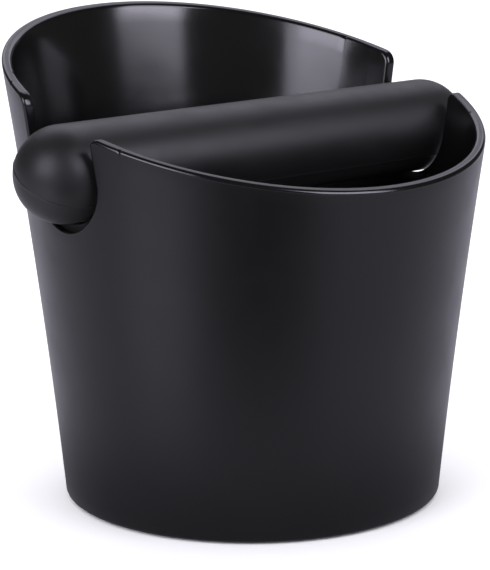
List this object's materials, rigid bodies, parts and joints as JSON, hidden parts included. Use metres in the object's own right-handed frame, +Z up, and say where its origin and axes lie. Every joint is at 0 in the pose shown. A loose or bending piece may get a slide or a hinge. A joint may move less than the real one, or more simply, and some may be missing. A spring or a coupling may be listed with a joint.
{
  "type": "espresso knock box",
  "caption": "Tapered round tub with a sloping rim and a padded knock bar lying across it in two U-shaped seats; the bar lifts out for cleaning.",
  "frame": {"origin": "on the tub's axis, on the surface that the box stands on", "axes": "+Z up; the knock bar lies along X; the low front of the rim faces -Y and the high back faces +Y"},
  "size_m": [0.141, 0.124, 0.1226],
  "materials": {
    "tub_plastic": "fine satin outside, glossier inside",
    "pad_rubber": "matt",
    "bar_rubber": "soft matt",
    "core_steel": "drawn tube",
    "plug_plastic": "moulded"
  },
  "bodies": {
    "tub": {"tub_shell": "tub_plastic", "non_slip_pad": "pad_rubber"},
    "knock_bar": {"bar_sleeve": "bar_rubber", "bar_core_tube": "core_steel", "bar_end_plug_left": "plug_plastic", "bar_end_plug_right": "plug_plastic"}
  },
  "joints": [
    {"name": "bar_lift", "type": "slide", "parent": "tub", "child": "knock_bar", "axis": [0, 0, 1], "range_m": [0, 0.05]}
  ]
}
